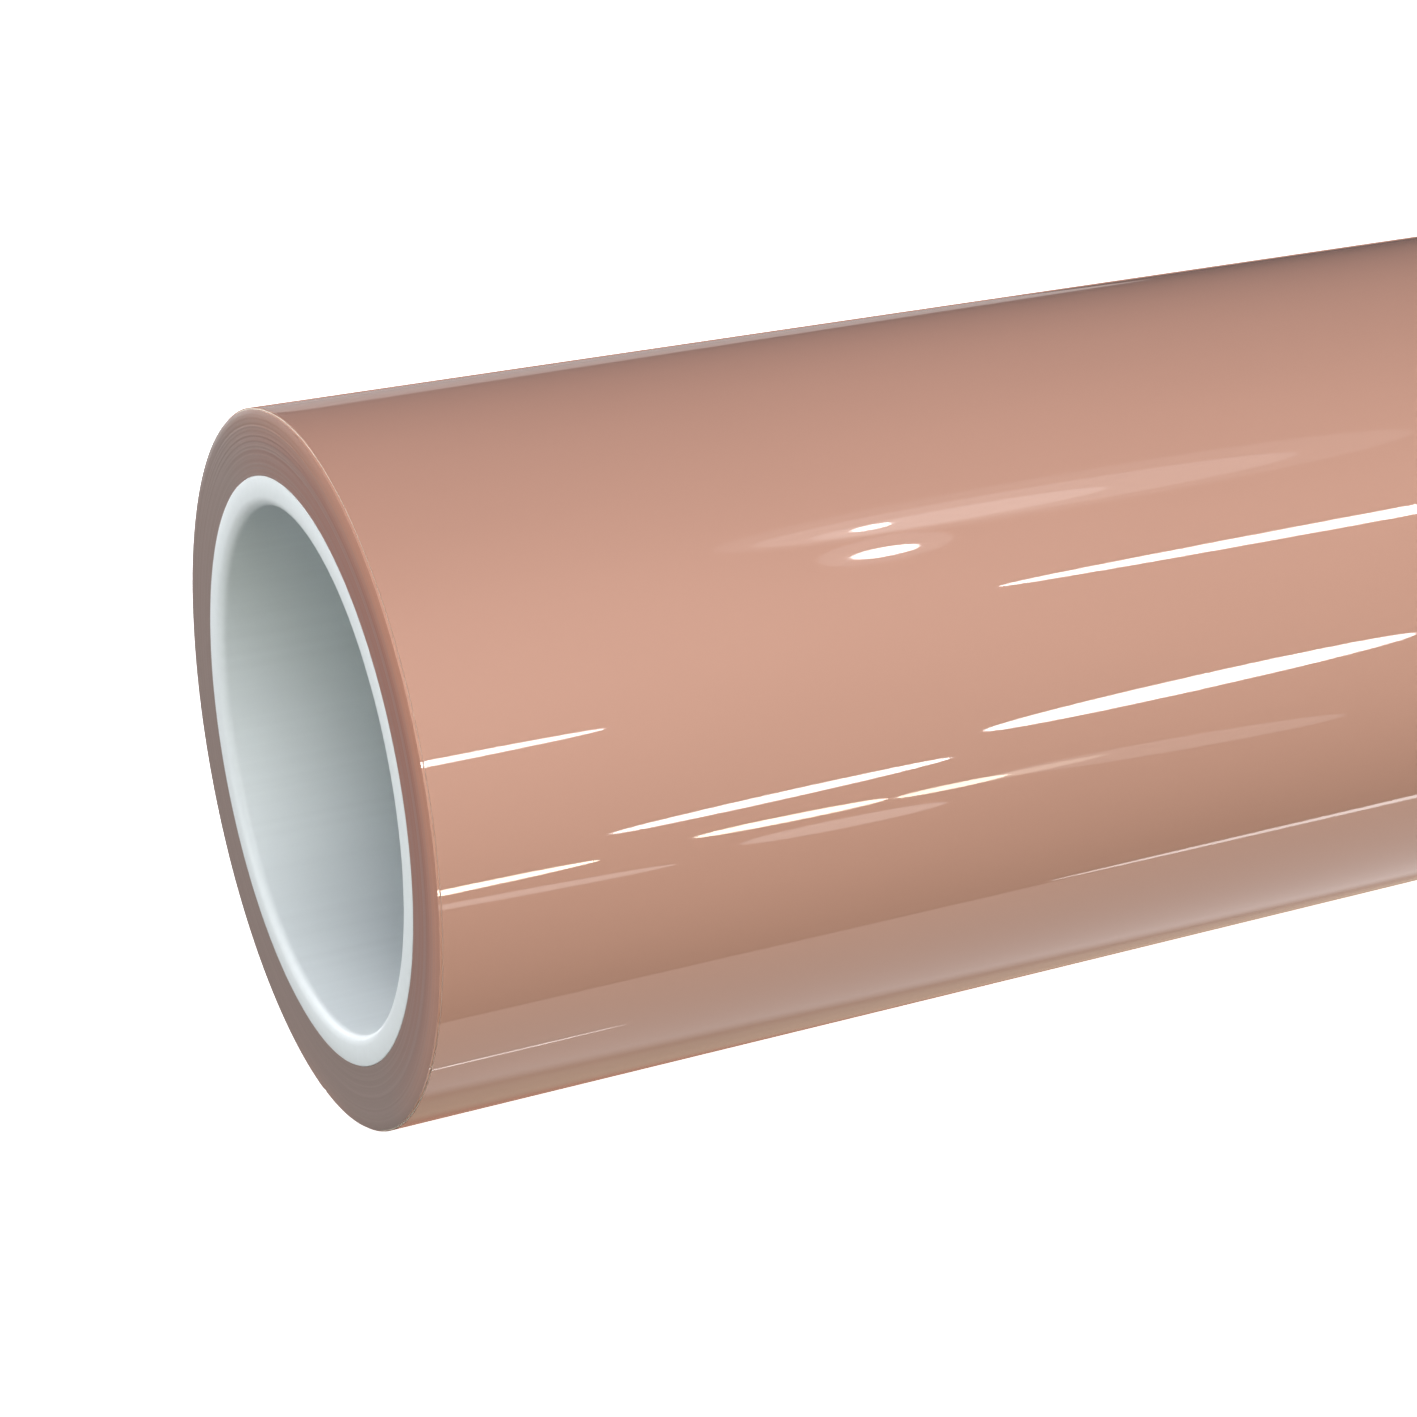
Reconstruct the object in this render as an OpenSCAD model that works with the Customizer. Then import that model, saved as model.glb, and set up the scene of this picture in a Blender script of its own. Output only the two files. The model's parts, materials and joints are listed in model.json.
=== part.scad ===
// Wide roll of adhesive-backed copper foil with a clear gloss face, wound on a plastic core.
// The roll's axis is X and Z is up. The origin is on the bore's axis, half-way along the roll.
// Angles are about X: 0 points back (+Y), 90 up and 180 to the front. The web leaves the roll at the back.

/* [Core] */
// Diameter of the core's bore, for a three-inch shaft
core_bore_d = 76.2; // [70:0.1:80]
// Thickness of the core's wall
core_wall = 4.4; // [3:0.1:8]
// How far the core stands out past each edge of the web
core_proud = 0.6; // [0.2:0.1:3]
// Radius of the rounded lip at each end of the bore
lip_r = 1.5; // [0.3:0.1:2]

/* [Web] */
// Width of the web
web_w = 304.8; // [100:0.1:600]
// Diameter over the finished winding
wound_d = 104; // [98:1:160]
// Thickness of the clear gloss film on the outside of the web
film_t = 0.05; // [0.05:0.01:0.1]
// Thickness of the copper foil under the film
foil_t = 0.05; // [0.05:0.01:0.1]
// Thickness of the adhesive on the back of the foil
adhesive_t = 0.05; // [0.05:0.01:0.1]
// Thickness of the release liner that covers the adhesive
liner_t = 0.1; // [0.05:0.01:0.15]

/* [Starting tape] */
// Width, round the core, of the tape that holds the first turn
start_tape_w = 25; // [10:1:40]
// Thickness of the starting tape
start_tape_t = 0.1; // [0.05:0.01:0.15]

/* [Tail] */
// Angle of the line where the loose tail bends away from the roll
root_angle = 66; // [50:1:75]
// Angle of the tail's cut end
end_angle = 10; // [8:1:35]
// Slack between the tail and the turn under it
tail_slack = 0.05; // [0.03:0.01:0.2]

/* [Tab] */
// Length of the tab along the roll
tab_l = 60; // [20:1:100]
// How far the tab reaches onto the tail, round the roll
tab_hold = 15; // [8:1:25]
// How far the tab reaches past the tail's cut end, round the roll
tab_pull = 16; // [8:1:25]
// Length of the folded grip at the tab's free end
grip_l = 4; // [2:1:6]
// Thickness of the tab
tab_t = 0.12; // [0.08:0.01:0.2]
// Radius of the tab's corners
tab_corner_r = 3; // [1:0.5:5]

/* [Hidden] */
$fn = 128;

core_r = core_bore_d / 2 + core_wall;
core_l = web_w + 2 * core_proud;
wound_r = wound_d / 2;
web_t = film_t + foil_t + adhesive_t + liner_t;

// Depth of each layer's outer face below the web's outer face, from the film inwards.
film_depth = 0;
foil_depth = film_t;
adhesive_depth = foil_depth + foil_t;
liner_depth = adhesive_depth + adhesive_t;

// The last turn is two half circles. The second one is centred off the axis, away from the tail's end,
// so that the turn has gone in by one web thickness by the time it passes under that end.
half_angle = end_angle + 180;
half_shift = web_t / 2;

root_gap_angle = 0.3;
tab_gap = 0.3;
tab_clearance = 0.05;

// Largest angle between two corners of a pie slice's rim.
slice_step = 45;

// Angle, in degrees, that a length takes up round the roll.
function turn_of(length, r = wound_r) = length / r * 180 / PI;

// The roll's cross-section is drawn in the plane of Y and Z and runs along X.
module along_x(length) {
    rotate([90, 0, 90]) linear_extrude(length, center = true) children();
}

// Pie slice from angle a0 to a1 that reaches past radius r.
module slice(r, a0, a1) {
    steps = ceil((a1 - a0) / slice_step);
    rim = [for (i = [0:steps]) let (a = a0 + (a1 - a0) * i / steps) 2 * r * [cos(a), sin(a)]];
    polygon(concat([[0, 0]], rim));
}

// Part of a ring between two radii and two angles.
module arc_strip(r_in, r_out, a0, a1) {
    intersection() {
        difference() {
            circle(r_out);
            circle(r_in);
        }
        slice(r_out, a0, a1);
    }
}

// Disc with the outline of the winding, of radius r at the tail's end.
module wound_disc(r) {
    intersection() {
        circle(r);
        slice(r, end_angle, half_angle);
    }
    intersection() {
        translate(half_shift * [cos(half_angle), sin(half_angle)]) circle(r - half_shift);
        slice(r, half_angle, end_angle + 360);
    }
}

// One layer of the last turn, from the tail's root round to where it goes under the tail's end.
module outer_layer(depth, thickness) {
    r = wound_r - depth;
    along_x(web_w) intersection() {
        difference() {
            wound_disc(r);
            wound_disc(r - thickness);
        }
        slice(r, root_angle + root_gap_angle, end_angle + 360);
    }
}

// One layer of the loose tail, lifted off the turn under it by its slack.
module tail_layer(depth, thickness) {
    r = wound_r - depth + tail_slack;
    along_x(web_w) arc_strip(r - thickness, r, end_angle, root_angle - root_gap_angle);
}

// Outline of the tab laid flat, its rounded end at y = 0 and the rest of it towards -y.
module tab_flat() {
    straight = tab_l - 2 * tab_corner_r;
    translate([-straight / 2, -wound_r]) square([straight, wound_r]);
    translate([-tab_l / 2, -wound_r]) square([tab_l, wound_r - tab_corner_r]);
    for (side = [-1, 1]) translate([side * straight / 2, -tab_corner_r]) circle(tab_corner_r);
}

// Stands the tab's outline on the roll's surface, with its rounded end at angle a.
module punch_at(a) {
    rotate([a - 90, 0, 0]) linear_extrude(2 * wound_r) children();
}

// What a rounded lip takes off the inner edge of the core's wall, at the end on the given side.
module lip_cut(side) {
    translate([core_bore_d / 2, side * core_l / 2]) difference() {
        translate([-lip_r, -lip_r]) square(2 * lip_r);
        translate([lip_r, -side * lip_r]) circle(lip_r);
        translate([lip_r, -2 * lip_r]) square(4 * lip_r);
    }
}

module core() {
    color("whitesmoke") rotate([0, 90, 0]) rotate_extrude() difference() {
        translate([core_bore_d / 2, -core_l / 2]) square([core_wall, core_l]);
        lip_cut(-1);
        lip_cut(1);
    }
}

module start_tape() {
    half = turn_of(start_tape_w, core_r) / 2;
    color("lightyellow") along_x(web_w)
        arc_strip(core_r, core_r + start_tape_t, half_angle - half, half_angle + half);
}

// Every turn but the last, with a pocket where the starting tape lies on the core.
module inner_wraps() {
    half = turn_of(start_tape_w, core_r) / 2;
    color("rosybrown") along_x(web_w) difference() {
        wound_disc(wound_r - web_t);
        circle(core_r);
        arc_strip(core_bore_d / 2, core_r + start_tape_t, half_angle - half, half_angle + half);
    }
}

module outer_release_liner() { color("ivory") outer_layer(liner_depth, liner_t); }
module outer_adhesive() { color("lightgray") outer_layer(adhesive_depth, adhesive_t); }
module outer_copper_foil() { color("peru") outer_layer(foil_depth, foil_t); }
module outer_gloss_film() { color("rosybrown") outer_layer(film_depth, film_t); }

module tail_release_liner() { color("ivory") tail_layer(liner_depth, liner_t); }
module tail_adhesive() { color("lightgray") tail_layer(adhesive_depth, adhesive_t); }
module tail_copper_foil() { color("peru") tail_layer(foil_depth, foil_t); }
module tail_gloss_film() { color("rosybrown") tail_layer(film_depth, film_t); }

// Half of the tab that is stuck to the tail.
module tab_hold() {
    r_in = wound_r + tail_slack;
    a_end = end_angle + turn_of(tab_hold);
    color("white") intersection() {
        along_x(tab_l) arc_strip(r_in, r_in + tab_t, end_angle, a_end);
        punch_at(a_end) mirror([0, 1]) tab_flat();
    }
}

// Free half of the tab, folded back on itself at its end to make a grip.
module tab_pull() {
    r_in = wound_r - web_t + tab_clearance;
    a_end = end_angle - turn_of(tab_pull);
    color("white") intersection() {
        along_x(tab_l) {
            arc_strip(r_in, r_in + tab_t, a_end, end_angle - turn_of(tab_gap));
            arc_strip(r_in + tab_t, r_in + 2 * tab_t, a_end, a_end + turn_of(grip_l));
        }
        punch_at(a_end) tab_flat();
    }
}

core();
start_tape();
inner_wraps();
outer_release_liner();
outer_adhesive();
outer_copper_foil();
outer_gloss_film();
tail_release_liner();
tail_adhesive();
tail_copper_foil();
tail_gloss_film();
tab_hold();
tab_pull();
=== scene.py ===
"""A wide roll of adhesive copper foil on its plastic core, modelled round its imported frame."""

import json
import math
import random

import bpy
from mathutils import Matrix, Vector


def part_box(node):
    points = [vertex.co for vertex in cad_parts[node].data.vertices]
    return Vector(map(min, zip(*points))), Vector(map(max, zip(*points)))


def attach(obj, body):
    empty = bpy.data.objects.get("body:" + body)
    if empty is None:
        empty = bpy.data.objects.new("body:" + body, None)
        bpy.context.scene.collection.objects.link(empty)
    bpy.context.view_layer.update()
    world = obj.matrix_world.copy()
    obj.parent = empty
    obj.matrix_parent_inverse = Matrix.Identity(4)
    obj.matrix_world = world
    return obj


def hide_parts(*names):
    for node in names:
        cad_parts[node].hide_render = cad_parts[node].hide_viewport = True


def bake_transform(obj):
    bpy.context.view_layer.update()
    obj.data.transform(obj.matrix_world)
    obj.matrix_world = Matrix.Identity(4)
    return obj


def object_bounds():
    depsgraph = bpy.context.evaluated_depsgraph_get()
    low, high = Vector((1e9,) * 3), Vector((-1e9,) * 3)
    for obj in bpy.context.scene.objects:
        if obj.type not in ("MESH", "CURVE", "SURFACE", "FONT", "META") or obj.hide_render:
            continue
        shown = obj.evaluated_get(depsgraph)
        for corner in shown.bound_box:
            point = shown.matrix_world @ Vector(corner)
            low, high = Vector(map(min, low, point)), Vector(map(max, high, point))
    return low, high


bl_info = {
    "name": "Copper Foil Roll",
    "version": (1, 0, 0),
    "blender": (4, 5, 0),
    "location": "3D View > Sidebar > Foil Roll",
    "description": "Models a wide roll of copper foil on its core, with a loose tail and a pull tab",
    "category": "Add Mesh",
}

MM = 0.001

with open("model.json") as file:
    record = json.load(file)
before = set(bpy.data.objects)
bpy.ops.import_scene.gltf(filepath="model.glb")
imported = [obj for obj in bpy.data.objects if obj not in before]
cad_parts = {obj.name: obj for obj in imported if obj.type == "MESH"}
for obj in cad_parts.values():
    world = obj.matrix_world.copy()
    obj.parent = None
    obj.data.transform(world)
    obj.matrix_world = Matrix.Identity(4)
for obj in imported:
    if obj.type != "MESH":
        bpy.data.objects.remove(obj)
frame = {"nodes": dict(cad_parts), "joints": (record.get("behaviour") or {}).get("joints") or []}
CAD_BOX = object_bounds()


# Sizes that come from the frame. The roll's axis is X, and angles about it run from +Y towards +Z.


def radii(node):
    """Nearest and furthest distance from the roll's axis of a node's points."""
    reach = [math.hypot(v.co.y, v.co.z) for v in frame["nodes"][node].data.vertices]
    return min(reach), max(reach)


def half_length(node):
    """Half of a node's length along the roll."""
    low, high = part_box(node)
    return (high.x - low.x) / 2


def joint_place(name):
    """A joint's place in the frame."""
    place = next(j for j in frame["joints"] if j["name"] == name)["pos_m"]
    return Vector(place)


def angle_of(place):
    """A point's angle about the roll's axis."""
    return math.atan2(place.z, place.y)


def angle_span(node):
    """Smallest and largest angle about the axis that a node at the roll's back reaches."""
    angles = [angle_of(v.co) for v in frame["nodes"][node].data.vertices]
    return min(angles), max(angles)


BORE_RADIUS, CORE_RADIUS = radii("core")
WOUND_RADIUS = radii("outer_gloss_film")[1]
TAIL_RADIUS = radii("tail_gloss_film")[1]
FILM = TAIL_RADIUS - radii("tail_gloss_film")[0]
FOIL = TAIL_RADIUS - FILM - radii("tail_copper_foil")[0]
ADHESIVE = TAIL_RADIUS - FILM - FOIL - radii("tail_adhesive")[0]
WEB = TAIL_RADIUS - radii("tail_release_liner")[0]
LINER = WEB - FILM - FOIL - ADHESIVE
CORE_HALF = half_length("core")
WEB_HALF = half_length("inner_wraps")
ROOT = joint_place("tail_lift")
CUT_END = joint_place("tab_lift")
ROOT_ANGLE = angle_of(ROOT)
CUT_ANGLE = angle_of(CUT_END)
TAB_HALF = half_length("tab_pull")
TAB = radii("tab_hold")[1] - radii("tab_hold")[0]


def hex_colour(code):
    """Linear red, green and blue of an sRGB hex colour such as #D6A491."""
    shares = [int(code[i : i + 2], 16) / 255 for i in (1, 3, 5)]
    return tuple(c / 12.92 if c <= 0.04045 else ((c + 0.055) / 1.055) ** 2.4 for c in shares)


def colour_property(name, description, code):
    """A colour that shows as a swatch in the panel."""
    return bpy.props.FloatVectorProperty(
        name=name,
        description=description,
        subtype="COLOR",
        size=3,
        min=0,
        max=1,
        default=hex_colour(code),
    )


def length_property(name, description, default):
    """A length in metres, shown in the scene's unit."""
    return bpy.props.FloatProperty(
        name=name,
        description=description,
        subtype="DISTANCE",
        unit="LENGTH",
        precision=5,
        min=0,
        default=default,
    )


def angle_property(name, description, degrees):
    """An angle, given in degrees and kept in radians."""
    return bpy.props.FloatProperty(
        name=name,
        description=description,
        subtype="ANGLE",
        unit="ROTATION",
        default=math.radians(degrees),
    )


def factor_property(name, description, default, highest=1.0):
    """A plain number from 0 to its highest value."""
    return bpy.props.FloatProperty(
        name=name, description=description, min=0, max=highest, default=default
    )


class RollSizes(bpy.types.PropertyGroup):
    """Sizes of the details that the frame leaves to the looks."""

    lip: length_property("Lip radius", "Round on the core's inner edge", 1.5 * MM)
    outer_edge: length_property("Outer edge", "Small chamfer on the core's outer edge", 0.25 * MM)
    telescoping: length_property(
        "Telescoping", "How far one turn's edge can stand out from its neighbours", 0.02 * MM
    )
    shoulder: length_property(
        "Shoulder", "How far the edges of the turns just under the last one are set back", 0.2 * MM
    )
    wander: length_property(
        "Wander", "How far the last turn lies towards the far end of the turns under it", 0.5 * MM
    )
    tail_bend: length_property("Tail bend", "How far past its root the tail bends over", 3.5 * MM)
    tab_bend: length_property("Tab bend", "How far past the cut end the tab bends over", 2.5 * MM)
    tab_corner: length_property("Tab corner", "Radius of the tab's corners", 3.0 * MM)
    tab_grip: length_property("Tab grip", "Length of the tab's end that is folded over", 4.0 * MM)
    film_wave: length_property("Film wave", "Height of the faint waves in the wound film", 0.006 * MM)


class RollColours(bpy.types.PropertyGroup):
    """Colours of the roll's layers and of its core."""

    film: colour_property("Film", "The copper seen through its gloss film", "#CC9C88")
    foil: colour_property("Foil", "Bare copper at the foil's cut edge", "#D69A7C")
    adhesive: colour_property("Adhesive", "The adhesive's edge", "#D8CDBB")
    liner: colour_property("Liner", "The release liner's coated paper", "#ECE7DA")
    edge_light: colour_property("Edge, light", "Paler rings in the wound edges", "#95847E")
    edge_dark: colour_property("Edge, dark", "Darker rings in the wound edges", "#908079")
    # The next two colours are painted glow, laid on the side of the wound edges that the key light comes
    # from.
    edge_painted_glow: colour_property("Edge, warm", "Copper that glows between the turns", "#A26F62")
    rim_painted_glow: colour_property("Edge, rim", "Copper that glows in the outermost turns", "#C08872")
    edge_dull: colour_property("Edge, dull", "Pale lines among the warm ones", "#A18C84")
    core: colour_property("Core", "The core's white plastic", "#E4EBEC")
    tab: colour_property("Tab", "The pull tab's label stock", "#F1F0EB")
    tape: colour_property("Starting tape", "The tape under the first turn", "#E7E0C8")


class StudioSettings(bpy.types.PropertyGroup):
    """The camera and the lights."""

    azimuth: angle_property("Azimuth", "Camera's heading, clockwise from +Y as seen from above", 25.8)
    elevation: angle_property("Elevation", "How far down the camera looks", 24.05)
    distance: length_property("Distance", "From the camera to where it aims", 0.4839)
    aim: bpy.props.FloatVectorProperty(
        name="Aim",
        description="Where the camera aims",
        subtype="TRANSLATION",
        unit="LENGTH",
        default=(-0.0893, 0.0, -0.0024),
    )
    lens: bpy.props.FloatProperty(
        name="Lens", description="Focal length on a 36 mm frame", unit="CAMERA", default=82.0
    )
    key: factor_property("Key light", "Strength of the soft light beside the camera", 1.0, 10)
    tubes: factor_property("Tube lamps", "Strength of the lamps that show as streaks", 1.0, 10)


# Making and shaping meshes


def select_only(piece):
    """Leaves this piece selected and active, and nothing else."""
    bpy.ops.object.select_all(action="DESELECT")
    piece.select_set(True)
    bpy.context.view_layer.objects.active = piece


def new_plane(name, centre, sides, turn=(0, 0, 0)):
    """A plane primitive at its size and place, with the place kept in its mesh."""
    bpy.ops.object.select_all(action="DESELECT")
    bpy.ops.mesh.primitive_plane_add(size=1, location=centre, rotation=turn)
    piece = bpy.context.object
    piece.name = name
    piece.data.name = name
    piece.scale = (*sides, 1)
    bpy.ops.object.transform_apply(location=True, rotation=True, scale=True)
    return piece


def pick(piece, kind, test):
    """In edit mode, selects the vertices, edges or faces whose middle passes a test."""
    bpy.ops.mesh.select_mode(type=kind)
    bpy.ops.mesh.select_all(action="DESELECT")
    bpy.ops.object.mode_set(mode="OBJECT")
    mesh = piece.data
    places = [v.co for v in mesh.vertices]
    parts = {"VERT": mesh.vertices, "EDGE": mesh.edges, "FACE": mesh.polygons}[kind]
    for part in parts:
        if kind == "VERT":
            part.select = test(part.co)
        elif kind == "EDGE":
            start, end = (places[i] for i in part.vertices)
            part.select = test((start + end) / 2, end - start)
        else:
            part.select = test(part.center)
    bpy.ops.object.mode_set(mode="EDIT")


def tidy_shell(piece, smooth_below=35):
    """Merges doubles, turns the normals outwards, leaves edit mode and shades the round faces smooth."""
    bpy.ops.mesh.select_all(action="SELECT")
    bpy.ops.mesh.remove_doubles(threshold=0.0005 * MM)
    bpy.ops.mesh.normals_make_consistent(inside=False)
    bpy.ops.object.mode_set(mode="OBJECT")
    select_only(piece)
    bpy.ops.object.shade_smooth_by_angle(angle=math.radians(smooth_below))


def across(radius, angle, x=0.0):
    """The point at this radius and angle about the roll's axis."""
    return Vector((x, radius * math.cos(angle), radius * math.sin(angle)))


def web_radius(angle):
    """Radius of the web's outer face on its last turn, from the tail's root round to the floor."""
    turned = math.degrees(angle)
    half = math.degrees(CUT_ANGLE) + 180
    if turned <= half:
        return WOUND_RADIUS
    shift = WEB / 2
    return WOUND_RADIUS - shift + shift * math.cos(math.radians(turned - half))


# The web's slack is taken up over this angle past the tail's root
SLACK_EASE = math.radians(8)


def tail_radius(angle):
    """Radius of the web's outer face where it lies slack, which eases into the wound turn past the root."""
    share = min(1.0, max(0.0, (angle - ROOT_ANGLE) / SLACK_EASE))
    share = share * share * (3 - 2 * share)
    return TAIL_RADIUS + share * (web_radius(angle) - TAIL_RADIUS)


# Across the roll, the sides from which the two halves of the key light come, and their middle
KEY_UPPER = across(1, math.radians(125))
KEY_LOWER = across(1, math.radians(160))
KEY_SIDE = (KEY_UPPER + KEY_LOWER).normalized()

# The object's pieces

FLOOR_ANGLE = math.radians(270)


def add_core(sizes):
    """The core: a tube with a rounded lip inside each end."""
    bpy.ops.object.select_all(action="DESELECT")
    bpy.ops.mesh.primitive_cylinder_add(
        vertices=192,
        radius=CORE_RADIUS,
        depth=2 * CORE_HALF,
        end_fill_type="NGON",
        rotation=(0, math.radians(90), 0),
    )
    core = bpy.context.object
    core.name = "core_tube"
    core.data.name = "core_tube"
    bpy.ops.object.transform_apply(location=True, rotation=True, scale=True)
    bpy.ops.object.mode_set(mode="EDIT")
    pick(core, "FACE", lambda middle: abs(middle.x) > 0.99 * CORE_HALF)
    bpy.ops.mesh.inset(thickness=CORE_RADIUS - BORE_RADIUS, depth=0)
    bpy.ops.mesh.bridge_edge_loops()

    def ring_edge(radius):
        """Picks the edges of the two end circles of this radius."""

        def test(middle, along):
            near = abs(math.hypot(middle.y, middle.z) - radius) < 0.5 * MM
            return near and abs(middle.x) > 0.99 * CORE_HALF and abs(along.x) < 0.1 * MM

        return test

    pick(core, "EDGE", ring_edge(BORE_RADIUS))
    bpy.ops.mesh.bevel(offset=sizes.lip, segments=6, profile=0.5, affect="EDGES")
    pick(core, "EDGE", ring_edge(CORE_RADIUS))
    bpy.ops.mesh.bevel(offset=sizes.outer_edge, segments=2, profile=0.5, affect="EDGES")
    tidy_shell(core, 30)
    return core


# The shoulder starts this far below the winding's surface
SHOULDER_DEPTH = 1.5 * MM

# The draw of how far the turns' edges stand in and out: its seed, its length and its pace
EDGE_SEED = 7
EDGE_SAMPLES = 977
SAMPLES_PER_TURN = 5

# Steps round the winding, and round the arc of the last turn
WOUND_STEPS = 240
LAYER_STEPS = 520


def set_back(radius, shoulder):
    """How far back from the web's full width a turn's edge lies, at this radius."""
    start = WOUND_RADIUS - SHOULDER_DEPTH
    share = max(0.0, (radius - start) / (WOUND_RADIUS - start))
    return shoulder * share * share


def edge_offset(turns, offsets):
    """How far a turn's edge stands out, read smoothly from offsets that repeat along the web."""
    place = turns * SAMPLES_PER_TURN
    low = math.floor(place)
    share = place - low
    share = share * share * (3 - 2 * share)
    first, second = (offsets[(low + i) % len(offsets)] for i in (0, 1))
    return first + share * (second - first)


def add_wound_turns(sizes):
    """All the turns under the last one, whose edges stand in and out a little along the spiral."""
    inner, outer = CORE_RADIUS, WOUND_RADIUS - WEB
    turns = round((outer - inner) / WEB)
    body = new_plane("wound_turns", (0, (inner + outer) / 2, 0), (2 * WEB_HALF, outer - inner))
    bpy.ops.object.mode_set(mode="EDIT")
    bpy.ops.mesh.select_all(action="SELECT")
    bpy.ops.mesh.delete(type="ONLY_FACE")
    pick(body, "EDGE", lambda middle, along: abs(along.x) < MM)
    bpy.ops.mesh.subdivide(number_cuts=2 * turns - 1)
    bpy.ops.mesh.select_all(action="SELECT")
    bpy.ops.mesh.spin(steps=WOUND_STEPS, angle=math.tau, center=(0, 0, 0), axis=(1, 0, 0))
    tidy_shell(body)
    source = random.Random(EDGE_SEED)
    offsets = [source.uniform(-1, 1) * source.random() for _ in range(EDGE_SAMPLES)]
    for vertex in body.data.vertices:
        radius = math.hypot(vertex.co.y, vertex.co.z)
        angle = math.atan2(vertex.co.z, vertex.co.y) % math.tau
        if angle < CUT_ANGLE - 0.001:
            angle += math.tau
        on_floor_side = angle > FLOOR_ANGLE - 0.001
        outline = web_radius(angle) - (0 if on_floor_side else WEB)
        share = (radius - inner) / (outer - inner)
        gone = (angle - CUT_ANGLE) / math.tau
        depth = (outer - radius) / WEB
        turn = math.floor(depth - gone + 0.25) + gone
        stand = sizes.telescoping * edge_offset(turn, offsets)
        stand *= min(1.0, 6 * share, 6 * (1 - share))
        settled = 1.0
        if on_floor_side and depth < 0.75:
            settled = max(0.0, (angle - FLOOR_ANGLE) / (CUT_ANGLE + math.tau - FLOOR_ANGLE))
        side = math.copysign(1, vertex.co.x)
        x = vertex.co.x + side * (stand - set_back(radius, sizes.shoulder))
        x -= settled * sizes.wander
        vertex.co = across(inner + share * (outline - inner), angle, x)
    return body


def add_layer(name, depth, thickness):
    """One layer of the web's last turn, from the tail's cut end back to where the roll meets the floor."""
    outer = WOUND_RADIUS - depth
    middle = outer - thickness / 2
    sides = (2 * WEB_HALF, thickness)
    layer = new_plane(name, across(middle, CUT_ANGLE), sides, (CUT_ANGLE, 0, 0))
    sweep = FLOOR_ANGLE - CUT_ANGLE
    bpy.ops.object.mode_set(mode="EDIT")
    pick(layer, "EDGE", lambda place, along: abs(along.x) > MM)
    bpy.ops.mesh.subdivide(number_cuts=7)
    bpy.ops.mesh.select_all(action="SELECT")
    bpy.ops.mesh.spin(steps=LAYER_STEPS, angle=-sweep, center=(0, 0, 0), axis=(1, 0, 0))
    tidy_shell(layer)
    for vertex in layer.data.vertices:
        angle = math.atan2(vertex.co.z, vertex.co.y) % math.tau
        radius = math.hypot(vertex.co.y, vertex.co.z)
        vertex.co = across(radius + tail_radius(angle) - WOUND_RADIUS, angle, vertex.co.x)
    return layer


# The tab steps down over the tail's cut end within this length, and is modelled in strips this long
TAB_STEP = 0.8 * MM
TAB_SPACING = 0.4 * MM


def tab_path(along):
    """Angle and radius of the tab's inner face, a distance along it from the tail's cut end."""
    over_tail, over_roll = TAIL_RADIUS, TAIL_RADIUS - WEB
    share = min(1.0, max(0.0, 1 + along / TAB_STEP))
    share = share * share * (3 - 2 * share)
    return CUT_ANGLE + along / WOUND_RADIUS, over_roll + share * (over_tail - over_roll)


def add_label_strip(name, low, high, lift, thickness, corner, round_ends):
    """A strip of label stock with rounded corners, laid along the roll's surface."""
    strip = new_plane(name, (0, (low + high) / 2, 0), (2 * TAB_HALF, high - low))
    bpy.ops.object.mode_set(mode="EDIT")
    pick(strip, "VERT", lambda place: (place.y < (low + high) / 2) or round_ends)
    bpy.ops.mesh.bevel(offset=corner, segments=8, affect="VERTICES")
    bpy.ops.mesh.select_mode(type="FACE")
    bpy.ops.mesh.select_all(action="SELECT")
    bpy.ops.mesh.extrude_region_move(TRANSFORM_OT_translate={"value": (0, 0, thickness)})
    cuts = round((high - low) / TAB_SPACING)
    for i in range(1, cuts):
        bpy.ops.mesh.select_all(action="SELECT")
        place = low + (high - low) * i / cuts
        bpy.ops.mesh.bisect(plane_co=(0, place, 0), plane_no=(0, 1, 0))
    tidy_shell(strip)
    for vertex in strip.data.vertices:
        angle, radius = tab_path(vertex.co.y)
        vertex.co = across(radius + lift + vertex.co.z, angle, vertex.co.x)
    bpy.ops.object.mode_set(mode="EDIT")
    tidy_shell(strip)
    return strip


# Materials


def add_node(tree, kind, inputs=None, **settings):
    """Adds a node, sets its own settings, and sets or links its inputs."""
    node = tree.nodes.new(kind)
    for name, value in settings.items():
        setattr(node, name, value)
    for key, value in (inputs or {}).items():
        if isinstance(value, bpy.types.NodeSocket):
            tree.links.new(value, node.inputs[key])
        else:
            node.inputs[key].default_value = value
    return node


def new_material(name, shader_inputs):
    """A material with one shader, and its object coordinates in metres."""
    material = bpy.data.materials.new(name)
    material.use_nodes = True
    tree = material.node_tree
    tree.nodes.clear()
    shader = add_node(tree, "ShaderNodeBsdfPrincipled", shader_inputs)
    add_node(tree, "ShaderNodeOutputMaterial", {"Surface": shader.outputs["BSDF"]})
    place = add_node(tree, "ShaderNodeTexCoord").outputs["Object"]
    return material, tree, shader, place


def noise(tree, place, sizes, detail=2.0):
    """Noise whose patches are about this long in millimetres along X, Y and Z."""
    scale = tuple(1 / (size * MM) for size in sizes)
    stretched = add_node(tree, "ShaderNodeMapping", {"Vector": place, "Scale": scale})
    texture = add_node(
        tree,
        "ShaderNodeTexNoise",
        {"Vector": stretched.outputs["Vector"], "Scale": 1.0, "Detail": detail},
    )
    return texture.outputs["Fac"]


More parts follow.
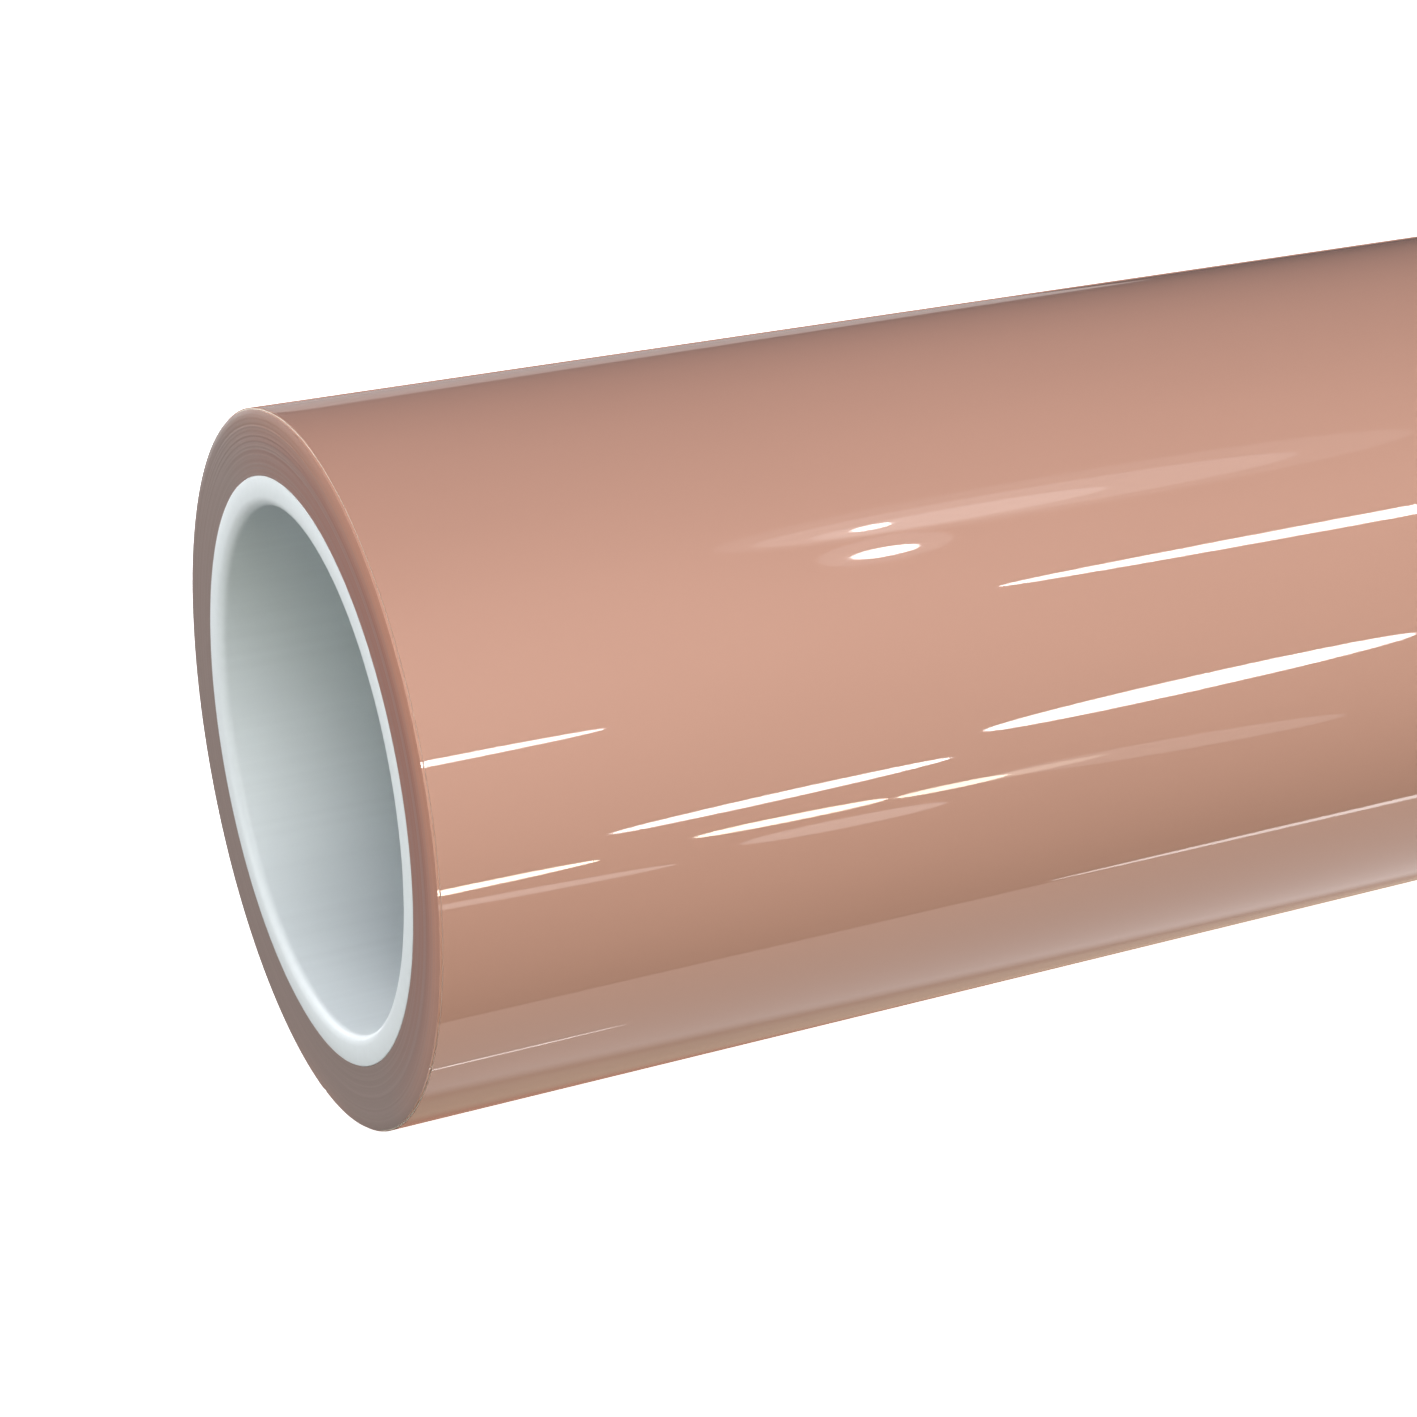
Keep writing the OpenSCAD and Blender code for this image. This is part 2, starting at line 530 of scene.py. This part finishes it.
def mix_colours(tree, factor, low, high, first, second):
    """A colour that goes from the first to the second as a factor goes from low to high."""
    share = add_node(
        tree,
        "ShaderNodeMapRange",
        {"Value": factor, "From Min": low, "From Max": high},
    )
    mix = tree.nodes.new("ShaderNodeMix")
    mix.data_type = "RGBA"
    tree.links.new(share.outputs["Result"], mix.inputs[0])
    for socket, colour in ((mix.inputs[6], first), (mix.inputs[7], second)):
        if isinstance(colour, bpy.types.NodeSocket):
            tree.links.new(colour, socket)
        else:
            socket.default_value = (*colour, 1)
    return mix.outputs[2]


def shade(colour, factor):
    """A colour made lighter or darker."""
    return tuple(min(1.0, c * factor) for c in colour)


def film_material(colours, sizes):
    """Rolled copper foil under a clear polyester film: an even rose colour with a sharp wet gloss."""
    material, tree, shader, place = new_material(
        "copper foil under polyester film",
        {
            "Metallic": 0.0,
            "Roughness": 0.5,
            "IOR": 1.5,
            "Specular IOR Level": 0.2,
            "Coat Weight": 1.0,
            "Coat Roughness": 0.02,
            "Coat IOR": 1.57,
        },
    )
    clouds = noise(tree, place, (90, 25, 25))
    colour = mix_colours(
        tree, clouds, 0.3, 0.7, shade(colours.film, 0.985), shade(colours.film, 1.015)
    )
    tree.links.new(colour, shader.inputs["Base Color"])
    waves = noise(tree, place, (70, 9, 9), 1.0)
    bump = add_node(
        tree,
        "ShaderNodeBump",
        {"Height": waves, "Distance": sizes.film_wave, "Strength": 1.0},
    )
    tree.links.new(bump.outputs["Normal"], shader.inputs["Coat Normal"])
    return material


def foil_material(colours):
    """Rolled copper foil, cut: bright metal with fine rolling lines."""
    material, tree, shader, place = new_material(
        "rolled copper foil", {"Metallic": 1.0, "Roughness": 0.6}
    )
    lines = noise(tree, place, (8, 0.3, 0.3))
    colour = mix_colours(tree, lines, 0.3, 0.7, shade(colours.foil, 0.9), shade(colours.foil, 1.1))
    tree.links.new(colour, shader.inputs["Base Color"])
    return material


def adhesive_material(colours):
    """Acrylic pressure-sensitive adhesive: a milky, slightly uneven coat."""
    material, tree, shader, place = new_material(
        "acrylic adhesive", {"Roughness": 0.45, "IOR": 1.47}
    )
    clouds = noise(tree, place, (2, 2, 2))
    colour = mix_colours(
        tree, clouds, 0.3, 0.7, shade(colours.adhesive, 0.94), shade(colours.adhesive, 1.04)
    )
    tree.links.new(colour, shader.inputs["Base Color"])
    return material


def paper_material(name, colour, roughness):
    """Coated paper: nearly white, with faint fibres that mottle it."""
    material, tree, shader, place = new_material(name, {"Roughness": roughness, "IOR": 1.45})
    fibres = noise(tree, place, (1.2, 0.5, 0.5), 4.0)
    mottled = mix_colours(tree, fibres, 0.3, 0.7, shade(colour, 0.96), shade(colour, 1.02))
    tree.links.new(mottled, shader.inputs["Base Color"])
    bump = add_node(
        tree, "ShaderNodeBump", {"Height": fibres, "Distance": 0.01 * MM, "Strength": 1.0}
    )
    tree.links.new(bump.outputs["Normal"], shader.inputs["Normal"])
    return material


def edge_material(colours):
    """Slit edges of wound laminate: faint rings, with a painted warm glow on the side the key light comes
    from that is strongest in the outermost turns.
    """
    material, tree, shader, place = new_material(
        "slit edges of wound foil", {"Roughness": 0.42, "IOR": 1.5}
    )
    parts = add_node(tree, "ShaderNodeSeparateXYZ", {"Vector": place}).outputs
    flat = add_node(tree, "ShaderNodeCombineXYZ", {"Y": parts["Y"], "Z": parts["Z"]})
    radius = add_node(
        tree, "ShaderNodeVectorMath", {0: flat.outputs["Vector"]}, operation="LENGTH"
    ).outputs["Value"]
    rings = add_node(
        tree,
        "ShaderNodeTexNoise",
        {"W": radius, "Scale": 1 / (1.1 * MM), "Detail": 5.0, "Roughness": 0.85},
        noise_dimensions="1D",
    ).outputs["Fac"]
    banded = mix_colours(tree, rings, 0.35, 0.65, colours.edge_dark, colours.edge_light)
    # Painted glow: the edges are painted warmer towards the side the key light comes from, and warmest in
    # the outermost turns.
    lit_side = add_node(
        tree,
        "ShaderNodeVectorMath",
        {0: place, 1: KEY_SIDE / WOUND_RADIUS},
        operation="DOT_PRODUCT",
    ).outputs["Value"]
    painted_glow_bands = mix_colours(tree, rings, 0.45, 0.75, colours.edge_painted_glow, colours.edge_dull)
    painted_rim_glow_bands = mix_colours(tree, rings, 0.5, 0.85, colours.rim_painted_glow, colours.edge_dull)
    inner = mix_colours(tree, lit_side, 0, 1, banded, painted_glow_bands)
    outer = mix_colours(tree, lit_side, 0, 1, banded, painted_rim_glow_bands)
    warm = mix_colours(tree, radius, WOUND_RADIUS - 4.5 * MM, WOUND_RADIUS - 2 * MM, inner, outer)
    tree.links.new(warm, shader.inputs["Base Color"])
    bump = add_node(
        tree, "ShaderNodeBump", {"Height": rings, "Distance": 0.002 * MM, "Strength": 1.0}
    )
    tree.links.new(bump.outputs["Normal"], shader.inputs["Normal"])
    return material


def core_material(colours):
    """Extruded white ABS: smooth, cool white, with faint draw lines along the tube."""
    material, tree, shader, place = new_material(
        "extruded white ABS", {"Roughness": 0.5, "IOR": 1.53}
    )
    draw = noise(tree, place, (160, 1.4, 1.4))
    colour = mix_colours(tree, draw, 0.3, 0.7, shade(colours.core, 0.985), shade(colours.core, 1.01))
    tree.links.new(colour, shader.inputs["Base Color"])
    bump = add_node(
        tree, "ShaderNodeBump", {"Height": draw, "Distance": 0.003 * MM, "Strength": 1.0}
    )
    tree.links.new(bump.outputs["Normal"], shader.inputs["Normal"])
    return material


def backdrop_material(name, colour, glow):
    """A plain matt surface, lit a little from within as a light table is."""
    material, _, _, _ = new_material(
        name,
        {
            "Base Color": (*hex_colour(colour), 1),
            "Roughness": 0.9,
            "Emission Color": (1, 1, 1, 1),
            "Emission Strength": glow,
        },
    )
    return material


# The studio


def camera_back(studio):
    """Direction from where the camera aims back to the camera."""
    level = math.cos(studio.elevation)
    return Vector(
        (
            -level * math.sin(studio.azimuth),
            -level * math.cos(studio.azimuth),
            math.sin(studio.elevation),
        )
    )


def add_camera(studio):
    """A long-lens camera that looks down at the roll's near end."""
    data = bpy.data.cameras.new("camera")
    data.lens = studio.lens
    data.sensor_width = 36
    camera = bpy.data.objects.new("camera", data)
    back = camera_back(studio)
    camera.location = Vector(studio.aim) + studio.distance * back
    camera.rotation_euler = (-back).to_track_quat("-Z", "Y").to_euler()
    bpy.context.scene.collection.objects.link(camera)
    bpy.context.scene.camera = camera
    return camera


def mirrored(eye, x, degrees):
    """A point on the film, and the direction in which the eye sees a lamp mirrored there."""
    angle = math.radians(degrees)
    normal = across(1, angle)
    point = across(WOUND_RADIUS, angle, x)
    back = (eye - point).normalized()
    return point, 2 * back.dot(normal) * normal - back


def add_area_lamp(name, place, aim, along, sides, radiance, colour=(1, 1, 1), shape="RECTANGLE"):
    """An area lamp of this radiance that faces a point and that cameras don't see."""
    data = bpy.data.lights.new(name, "AREA")
    data.shape = shape
    data.size, data.size_y = sides
    area = sides[0] * sides[1] * (math.pi / 4 if shape == "ELLIPSE" else 1)
    data.energy = radiance * area * math.pi
    data.color = colour
    lamp = bpy.data.objects.new(name, data)
    back = (Vector(place) - Vector(aim)).normalized()
    side = (along - along.dot(back) * back).normalized()
    turn = Matrix((side, back.cross(side), back)).transposed()
    lamp.matrix_world = Matrix.Translation(place) @ turn.to_4x4()
    lamp.visible_camera = False
    bpy.context.scene.collection.objects.link(lamp)
    return lamp


WHITE = (1.0, 1.0, 1.0)
CREAM = (1.0, 0.93, 0.78)
NEAR_EDGE = -WEB_HALF
TUBE_DISTANCE = 1.2

# How far off the soft lights stand, and how far the key leans towards the roll's near end
SOFT_DISTANCE = 1.8
KEY_LEAN = Vector((-0.17, 0, 0))

# Each soft light's direction, side, radiance and colour, and whether it may show in the gloss
SOFT_LIGHTS = {
    "key_upper": (KEY_UPPER + KEY_LEAN, 1.0, 6.0, (0.86, 0.86, 1.0), False),
    "key_lower": (KEY_LOWER + KEY_LEAN, 1.0, 4.1, (1.0, 1.0, 0.79), False),
    "near_end_fill": (Vector((-1.0, 0.2, 0.0)), 0.6, 16.0, WHITE, False),
    "far_end_fill": (Vector((1.0, 0.2, 0.0)), 0.6, 12.0, WHITE, False),
    "back_fill": (Vector((-0.45, 0.77, 0.45)), 0.8, 6.5, WHITE, True),
    "low_back_fill": (Vector((-0.05, 0.95, -0.02)), 0.8, 5.0, WHITE, True),
}

# How far in front of the roll's axis the card on the table begins
TABLE_EDGE = -66 * MM

# Where each lamp shows in the film: from and to along the roll from its near edge in millimetres, its
# angle about the roll at both ends in degrees, how thick its streak is in millimetres, and its radiance.
TUBES = {
    "tube_near_high": (-26, 25, 156.0, 156.0, 0.8, 22, WHITE),
    "tube_near_low": (-22, 22, 174.7, 174.9, 0.8, 22, CREAM),
    "tube_mid_high": (24, 75, 171.3, 170.6, 1.0, 22, WHITE),
    "tube_mid_low": (36, 65, 174.5, 175.0, 0.9, 20, CREAM),
    "tube_mid_tip": (66.5, 84, 175.1, 175.3, 0.7, 14, CREAM),
    "tube_mid_fade": (66, 100, 175.2, 175.4, 0.7, 2.5, CREAM),
    "tube_far_low": (80.5, 153, 167.6, 166.2, 1.9, 22, WHITE),
    "tube_far_high": (85, 240, 146.3, 146.7, 1.2, 22, WHITE),
    "spot_large": (66, 76.5, 137.8, 137.8, 1.3, 22, WHITE),
    "spot_glow": (61, 82, 137.4, 137.4, 3.6, 0.9, WHITE),
    "spot_small": (67.5, 73.5, 133.5, 133.6, 0.7, 20, WHITE),
    "haze_inner": (61, 108, 133.7, 133.9, 1.8, 1.3, WHITE),
    "haze_middle": (52, 140, 133.1, 133.9, 3.2, 0.9, WHITE),
    "haze_outer": (46, 160, 132.6, 133.8, 5.0, 0.5, WHITE),
    "smear_near": (-10, 33, 176.6, 178.2, 0.8, 2.2, WHITE),
    "smear_mid": (43, 74, 177.0, 177.8, 1.4, 2.0, WHITE),
    "smear_far": (83, 140, 174.8, 177.6, 1.6, 1.0, WHITE),
    "glint_low": (-26, 28, 208.2, 208.2, 0.3, 5, WHITE),
    "glint_card": (90, 300, 197.0, 197.0, 0.6, 5, WHITE),
}


def add_tubes(studio, camera):
    """Long lamps, each hung where the camera sees it mirrored at its own place in the film."""
    eye = camera.location
    for name, (low, high, first, second, thick, radiance, colour) in TUBES.items():
        ends, points = [], []
        for x, degrees in ((low, first), (high, second)):
            point, ray = mirrored(eye, NEAR_EDGE + x * MM, degrees)
            reach = TUBE_DISTANCE
            fall = (CAD_BOX[0].z - point.z) / ray.z
            if ray.z < 0 and point.y + fall * ray.y > TABLE_EDGE:
                # Over the card on the table, a lamp hangs just above the card
                reach = 0.9 * fall
            points.append(point)
            ends.append(point + reach * ray)
        place, aim = (ends[0] + ends[1]) / 2, (points[0] + points[1]) / 2
        back = (place - aim).normalized()
        along = ends[1] - ends[0]
        along -= along.dot(back) * back
        spread = 2 * thick * MM / WOUND_RADIUS * reach
        strength = radiance * studio.tubes
        add_area_lamp(name, place, aim, along, (along.length, spread), strength, colour, "ELLIPSE")


def add_soft_lights(studio):
    """A key in two halves beside the camera, a fill from each end of the roll and two behind it."""
    up = Vector((0, 0, 1))
    aim = Vector(studio.aim)
    for name, (direction, side, radiance, colour, in_gloss) in SOFT_LIGHTS.items():
        place = aim + SOFT_DISTANCE * direction.normalized()
        strength = radiance * studio.key
        lamp = add_area_lamp(name, place, aim, up.cross(direction), (side, side), strength, colour)
        lamp.visible_glossy = in_gloss


# How far the floor and the dome reach, and how far the card on the table does
STAGE_REACH = 6.0
CARD_REACH = 0.6

# How far the floor and the card on the table lie below the roll's lowest point
FLOOR_GAP = 0.4 * MM
CARD_GAP = 0.1 * MM

# The table card's shades, each with its place along Y in millimetres, and how much they slant. The card's
# glow stands in for light on the table, and the darker, warmer shades near the roll are a painted shadow of
# the roll with painted bounce light from the copper.
TABLE_PAINTED_SHADOW_SHADES = (
    (TABLE_EDGE / MM, "#F4E2DC"),
    (-30, "#FFEFEA"),
    (-26.5, "#C4A797"),
    (-24, "#CFB6A3"),
    (-18, "#C9AD98"),
    (-14, "#B58673"),
)
TABLE_PAINTED_SHADOW_SLANT = -0.06


def add_sheet(name, low, high, z, material):
    """A plain flat sheet of the stage."""
    centre = ((low[0] + high[0]) / 2, (low[1] + high[1]) / 2, z)
    sheet = new_plane(name, centre, (high[0] - low[0], high[1] - low[1]))
    sheet.data.materials.append(material)
    return sheet


def card_material(name, glow, shades, slant):
    """A card that glows, in shades that change along Y at places given in millimetres."""
    material, tree, shader, place = new_material(
        name, {"Base Color": (0, 0, 0, 1), "Roughness": 1.0, "Emission Strength": glow}
    )
    along = add_node(
        tree, "ShaderNodeVectorMath", {0: place, 1: (slant, 1, 0)}, operation="DOT_PRODUCT"
    ).outputs["Value"]
    light = hex_colour(shades[0][1])
    for (start, _), (end, shade_code) in zip(shades, shades[1:]):
        light = mix_colours(tree, along, start * MM, end * MM, light, hex_colour(shade_code))
    tree.links.new(light, shader.inputs["Emission Color"])
    return material


def plain_card_material(name, glow, colour):
    """A card that glows evenly."""
    return new_material(
        name,
        {
            "Base Color": (0, 0, 0, 1),
            "Roughness": 1.0,
            "Emission Color": (*hex_colour(colour), 1),
            "Emission Strength": glow,
        },
    )[0]


def show_only_in_reflections(part):
    """Hides a part of the stage from all but mirrored rays."""
    part.visible_camera = False
    part.visible_diffuse = False
    part.visible_shadow = False
    part.visible_transmission = False
    part.visible_volume_scatter = False


def add_card(name, sides, place, turn, material):
    """A card that stands off the roll and shows only in its gloss."""
    card = new_plane(name, (0, 0, 0), sides)
    card.data.materials.append(material)
    card.data.transform(Matrix.Translation(place) @ turn)
    show_only_in_reflections(card)


def add_backdrop():
    """A plain pale floor and dome, which only the eye sees."""
    pale = backdrop_material("plain pale backdrop", "#FFFFFF", 1.0)
    low, high = (-STAGE_REACH, -STAGE_REACH), (STAGE_REACH, STAGE_REACH)
    floor = add_sheet("floor", low, high, CAD_BOX[0].z - FLOOR_GAP, pale)
    bpy.ops.object.select_all(action="DESELECT")
    bpy.ops.mesh.primitive_uv_sphere_add(segments=32, ring_count=16, radius=STAGE_REACH)
    dome = bpy.context.object
    dome.name = "dome"
    dome.data.materials.append(pale)
    for part in (floor, dome):
        part.visible_diffuse = False
        part.visible_glossy = False
        part.visible_shadow = False


def add_cards():
    """The cards that show in the gloss: a warm one on the table with a painted shadow of the roll and
    painted bounce light, a wall far off and the key's softbox.
    """
    # The table card's glow paints the light on the table, and paints the roll's shadow as darker, warmer
    # shades near the roll.
    glow = card_material("table card with painted shadow", 1.08, TABLE_PAINTED_SHADOW_SHADES, TABLE_PAINTED_SHADOW_SLANT)
    low, high = (-CORE_HALF - MM, TABLE_EDGE), (CARD_REACH, CARD_REACH)
    table = add_sheet("table_card", low, high, CAD_BOX[0].z - CARD_GAP, glow)
    show_only_in_reflections(table)
    upright = Matrix.Rotation(math.radians(90), 4, "X")
    leaning = Matrix.Rotation(math.radians(24), 4, "Y") @ upright
    pale = plain_card_material("pale wall card", 0.5, "#F4F2F2")
    add_card("wall_card", (1.2, 1.2), (1.1, 3.0, -0.35), leaning, pale)
    back = (KEY_SIDE + KEY_LEAN).normalized()
    facing = back.to_track_quat("Z", "Y").to_matrix().to_4x4()
    white = plain_card_material("white softbox card", 5.0, "#FFFFFF")
    add_card("softbox_card", (1.0, 2.0), SOFT_DISTANCE * back, facing, white)


def add_air():
    """Faint cool light from all round, and plain sRGB colours."""
    world = bpy.data.worlds.new("studio air")
    world.use_nodes = True
    air = world.node_tree.nodes["Background"].inputs
    air["Color"].default_value = (*hex_colour("#E6E8F2"), 1)
    air["Strength"].default_value = 0.075
    bpy.context.scene.world = world
    bpy.context.scene.view_settings.view_transform = "Standard"


# Operators


class FOIL_OT_core(bpy.types.Operator):
    """Model the plastic core"""

    bl_idname = "foil_roll.core"
    bl_label = "Core"

    def execute(self, context):
        core = add_core(context.scene.roll_sizes)
        core.data.materials.append(core_material(context.scene.roll_colours))
        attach(core, "roll")
        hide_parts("core")
        return {"FINISHED"}


class FOIL_OT_start_tape(bpy.types.Operator):
    """Finish the tape that holds the first turn to the core"""

    bl_idname = "foil_roll.start_tape"
    bl_label = "Starting tape"

    def execute(self, context):
        tape = frame["nodes"]["start_tape"]
        tape.data.materials.clear()
        colour = tuple(context.scene.roll_colours.tape)
        tape.data.materials.append(paper_material("double-sided tape", colour, 0.4))
        return {"FINISHED"}


class FOIL_OT_wound_turns(bpy.types.Operator):
    """Model the turns under the last one"""

    bl_idname = "foil_roll.wound_turns"
    bl_label = "Wound turns"

    def execute(self, context):
        scene = context.scene
        body = add_wound_turns(scene.roll_sizes)
        body.data.materials.append(edge_material(scene.roll_colours))
        body.data.materials.append(film_material(scene.roll_colours, scene.roll_sizes))
        for face in body.data.polygons:
            face.material_index = int(abs(face.normal.x) < 0.5)
        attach(body, "roll")
        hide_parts("inner_wraps")
        return {"FINISHED"}


class FOIL_OT_last_turn(bpy.types.Operator):
    """Model the last turn's four layers, whose end is the loose tail"""

    bl_idname = "foil_roll.last_turn"
    bl_label = "Last turn and tail"

    def execute(self, context):
        scene = context.scene
        colours = scene.roll_colours
        layers = (
            ("gloss_film", 0, FILM, film_material(colours, scene.roll_sizes)),
            ("copper_foil", FILM, FOIL, foil_material(colours)),
            ("adhesive", FILM + FOIL, ADHESIVE, adhesive_material(colours)),
            (
                "release_liner",
                FILM + FOIL + ADHESIVE,
                LINER,
                paper_material("silicone-coated liner paper", tuple(colours.liner), 0.5),
            ),
        )
        for name, depth, thickness, material in layers:
            layer = add_layer(name + "_layer", depth, thickness)
            layer.data.materials.append(material)
            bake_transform(layer)
            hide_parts("outer_" + name, "tail_" + name)
        return {"FINISHED"}


class FOIL_OT_tab(bpy.types.Operator):
    """Model the pull tab on the tail's cut end"""

    bl_idname = "foil_roll.tab"
    bl_label = "Pull tab"

    def execute(self, context):
        sizes = context.scene.roll_sizes
        stock = paper_material("white label stock", tuple(context.scene.roll_colours.tab), 0.55)
        held = (angle_span("tab_hold")[1] - CUT_ANGLE) * WOUND_RADIUS
        free = (angle_span("tab_pull")[0] - CUT_ANGLE) * WOUND_RADIUS
        strip = add_label_strip("pull_tab", free, held, 0, TAB, sizes.tab_corner, True)
        strip.data.materials.append(stock)
        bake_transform(strip)
        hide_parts("tab_hold", "tab_pull")
        folded = free + sizes.tab_grip
        fold = add_label_strip("pull_tab_grip", free, folded, TAB, TAB, sizes.tab_corner, False)
        fold.data.materials.append(stock)
        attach(fold, "tab")
        return {"FINISHED"}


class FOIL_OT_stage(bpy.types.Operator):
    """Set up the camera, the stage and the lights"""

    bl_idname = "foil_roll.stage"
    bl_label = "Stage"

    def execute(self, context):
        studio = context.scene.roll_studio
        camera = add_camera(studio)
        add_backdrop()
        add_cards()
        add_air()
        add_soft_lights(studio)
        add_tubes(studio, camera)
        return {"FINISHED"}


class FOIL_PT_panel(bpy.types.Panel):
    """Foil roll"""

    bl_idname = "FOIL_PT_panel"
    bl_label = "Foil Roll"
    bl_space_type = "VIEW_3D"
    bl_region_type = "UI"
    bl_category = "Foil Roll"

    def draw(self, context):
        for operator in OPERATORS:
            self.layout.operator(operator.bl_idname)
        for group in (
            context.scene.roll_sizes,
            context.scene.roll_colours,
            context.scene.roll_studio,
        ):
            box = self.layout.box()
            for name in group.__annotations__:
                box.prop(group, name)


OPERATORS = (
    FOIL_OT_core,
    FOIL_OT_start_tape,
    FOIL_OT_wound_turns,
    FOIL_OT_last_turn,
    FOIL_OT_tab,
    FOIL_OT_stage,
)
GROUPS = {
    "roll_sizes": RollSizes,
    "roll_colours": RollColours,
    "roll_studio": StudioSettings,
}
CLASSES = (*GROUPS.values(), *OPERATORS, FOIL_PT_panel)


def register():
    for cls in CLASSES:
        bpy.utils.register_class(cls)
    for name, group in GROUPS.items():
        setattr(bpy.types.Scene, name, bpy.props.PointerProperty(type=group))


def unregister():
    for name in GROUPS:
        delattr(bpy.types.Scene, name)
    for cls in reversed(CLASSES):
        bpy.utils.unregister_class(cls)


def main():
    register()
    bpy.ops.foil_roll.core()
    bpy.ops.foil_roll.start_tape()
    bpy.ops.foil_roll.wound_turns()
    bpy.ops.foil_roll.last_turn()
    bpy.ops.foil_roll.tab()
    bpy.ops.foil_roll.stage()


if __name__ == "__main__":
    main()
